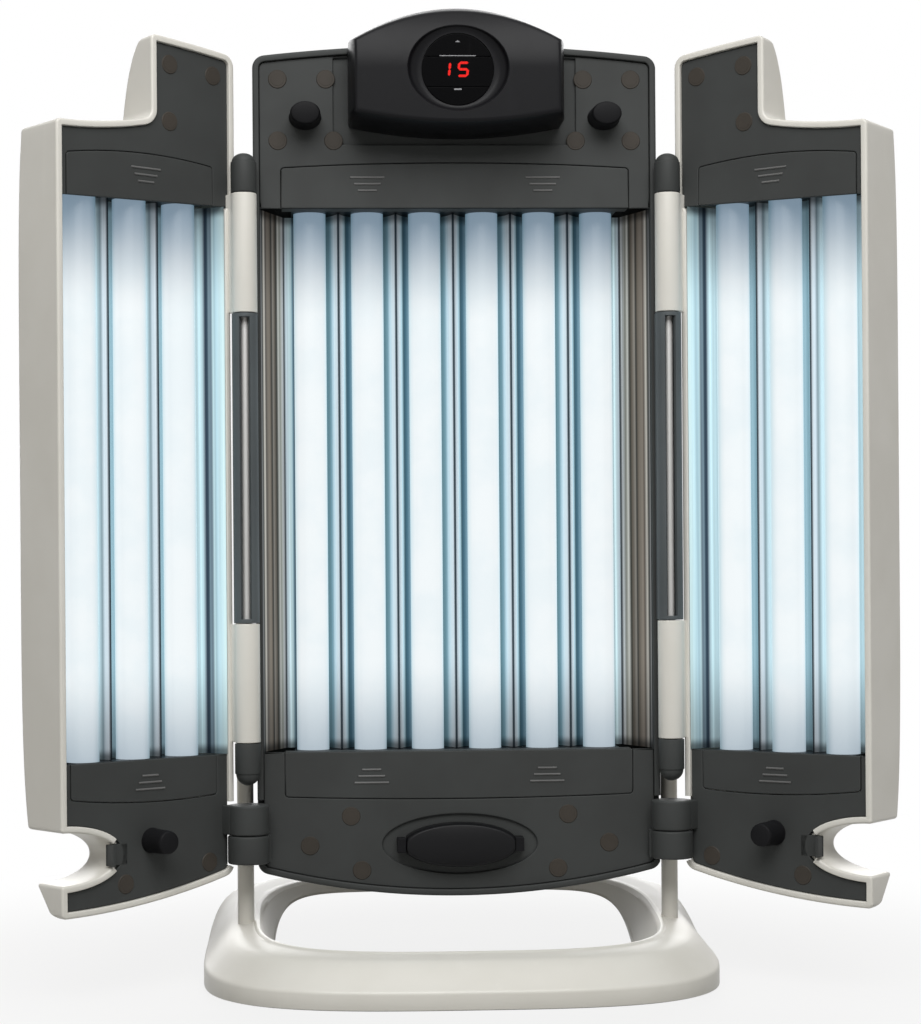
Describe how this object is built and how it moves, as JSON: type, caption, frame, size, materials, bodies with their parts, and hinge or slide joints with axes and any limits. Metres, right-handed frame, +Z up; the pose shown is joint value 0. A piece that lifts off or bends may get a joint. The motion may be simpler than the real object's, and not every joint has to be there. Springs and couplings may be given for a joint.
{
  "type": "facial tanner",
  "caption": "Free-standing folding facial tanner: a panel of upright ultraviolet tubes with two hinged side wings of tubes, a control head with a timer display, and posts on a ring base.",
  "frame": {"origin": "middle of the base ring on the floor", "axes": "+Z up; -Y is the front, where the tubes face; +X is to the right seen from the front"},
  "size_m": [0.6702, 0.34, 0.754],
  "materials": {
    "cream_plastic": "satin",
    "charcoal_plastic": "fine grain",
    "black_plastic": "satin",
    "dial_plastic": "gloss",
    "circuit_board": "matte",
    "steel": "drawn",
    "reflector_sheet": "bright",
    "rubber": "matte",
    "lamp_glass": "phosphor white"
  },
  "bodies": {
    "root": {"base_ring": "cream_plastic", "post_left": "cream_plastic", "post_right": "cream_plastic", "centre_shell": "charcoal_plastic", "centre_bezel_top": "charcoal_plastic", "centre_bezel_bottom": "charcoal_plastic", "control_housing": "black_plastic", "mains_inlet": "black_plastic", "display_window": "dial_plastic", "timer_board": "circuit_board", "ballast": "steel", "hinge_rod_left": "steel", "hinge_rod_right": "steel", "centre_reflector": "reflector_sheet", "base_pad": "rubber", "centre_bumper_left": "rubber", "centre_bumper_right": "rubber", "centre_lamp_1": "lamp_glass", "centre_lamp_2": "lamp_glass", "centre_lamp_3": "lamp_glass", "centre_lamp_4": "lamp_glass", "centre_lamp_5": "lamp_glass", "centre_lamp_6": "lamp_glass", "centre_lampholder_top": "black_plastic", "centre_lampholder_bottom": "black_plastic", "hinge_channel_left": "charcoal_plastic", "post_saddle_left": "charcoal_plastic", "hinge_channel_right": "charcoal_plastic", "post_saddle_right": "charcoal_plastic"},
    "wing_left": {"wing_shell_left": "cream_plastic", "wing_bezel_top_left": "charcoal_plastic", "wing_bezel_bottom_left": "charcoal_plastic", "wing_reflector_left": "reflector_sheet", "wing_bumper_left": "rubber", "wing_lampholder_top_left": "black_plastic", "wing_lampholder_bottom_left": "black_plastic", "wing_lamp_left_1": "lamp_glass", "wing_lamp_left_2": "lamp_glass", "wing_lamp_left_3": "lamp_glass"},
    "wing_right": {"wing_shell_right": "cream_plastic", "wing_bezel_top_right": "charcoal_plastic", "wing_bezel_bottom_right": "charcoal_plastic", "wing_reflector_right": "reflector_sheet", "wing_bumper_right": "rubber", "wing_lampholder_top_right": "black_plastic", "wing_lampholder_bottom_right": "black_plastic", "wing_lamp_right_1": "lamp_glass", "wing_lamp_right_2": "lamp_glass", "wing_lamp_right_3": "lamp_glass"},
    "centre_cover_top": {"centre_cover_top": "charcoal_plastic"},
    "centre_cover_bottom": {"centre_cover_bottom": "charcoal_plastic"},
    "wing_cover_top_left": {"wing_cover_top_left": "charcoal_plastic"},
    "wing_cover_bottom_left": {"wing_cover_bottom_left": "charcoal_plastic"},
    "wing_cover_top_right": {"wing_cover_top_right": "charcoal_plastic"},
    "wing_cover_bottom_right": {"wing_cover_bottom_right": "charcoal_plastic"},
    "open_button": {"open_button": "black_plastic"},
    "latch_bolt_left": {"latch_bolt_left": "black_plastic"},
    "latch_bolt_right": {"latch_bolt_right": "black_plastic"},
    "set_key": {"set_key": "dial_plastic"},
    "start_key": {"start_key": "dial_plastic"}
  },
  "joints": [
    {"name": "wing_left_fold", "type": "hinge", "parent": "root", "child": "wing_left", "pos_m": [-0.165, -0.046, 0.391], "axis": [0, 0, 1], "range_deg": [-30, 141.5]},
    {"name": "wing_right_fold", "type": "hinge", "parent": "root", "child": "wing_right", "pos_m": [0.165, -0.046, 0.391], "axis": [0, 0, -1], "range_deg": [-30, 141.5]},
    {"name": "centre_cover_top_slide", "type": "slide", "parent": "root", "child": "centre_cover_top", "axis": [0, 0, -1], "range_m": [0, 0.012]},
    {"name": "centre_cover_bottom_slide", "type": "slide", "parent": "root", "child": "centre_cover_bottom", "axis": [0, 0, 1], "range_m": [0, 0.012]},
    {"name": "wing_cover_top_left_slide", "type": "slide", "parent": "wing_left", "child": "wing_cover_top_left", "axis": [0, 0, -1], "range_m": [0, 0.012]},
    {"name": "wing_cover_bottom_left_slide", "type": "slide", "parent": "wing_left", "child": "wing_cover_bottom_left", "axis": [0, 0, 1], "range_m": [0, 0.012]},
    {"name": "wing_cover_top_right_slide", "type": "slide", "parent": "wing_right", "child": "wing_cover_top_right", "axis": [0, 0, -1], "range_m": [0, 0.012]},
    {"name": "wing_cover_bottom_right_slide", "type": "slide", "parent": "wing_right", "child": "wing_cover_bottom_right", "axis": [0, 0, 1], "range_m": [0, 0.012]},
    {"name": "open_press", "type": "slide", "parent": "root", "child": "open_button", "axis": [0, 1, 0], "range_m": [0, 0.004], "stiffness_N_per_m": 800},
    {"name": "latch_left_slide", "type": "slide", "parent": "root", "child": "latch_bolt_left", "axis": [-1, 0, 0], "range_m": [0, 0.002]},
    {"name": "latch_right_slide", "type": "slide", "parent": "root", "child": "latch_bolt_right", "axis": [1, 0, 0], "range_m": [0, 0.002]},
    {"name": "set_key_press", "type": "slide", "parent": "root", "child": "set_key", "axis": [0, 1, 0], "range_m": [0, 0.0008], "stiffness_N_per_m": 600},
    {"name": "start_key_press", "type": "slide", "parent": "root", "child": "start_key", "axis": [0, 1, 0], "range_m": [0, 0.0008], "stiffness_N_per_m": 600}
  ],
  "couplings": [
    {"joint": "latch_left_slide", "follows": "open_press", "ratio": 0.5},
    {"joint": "latch_right_slide", "follows": "open_press", "ratio": 0.5}
  ]
}
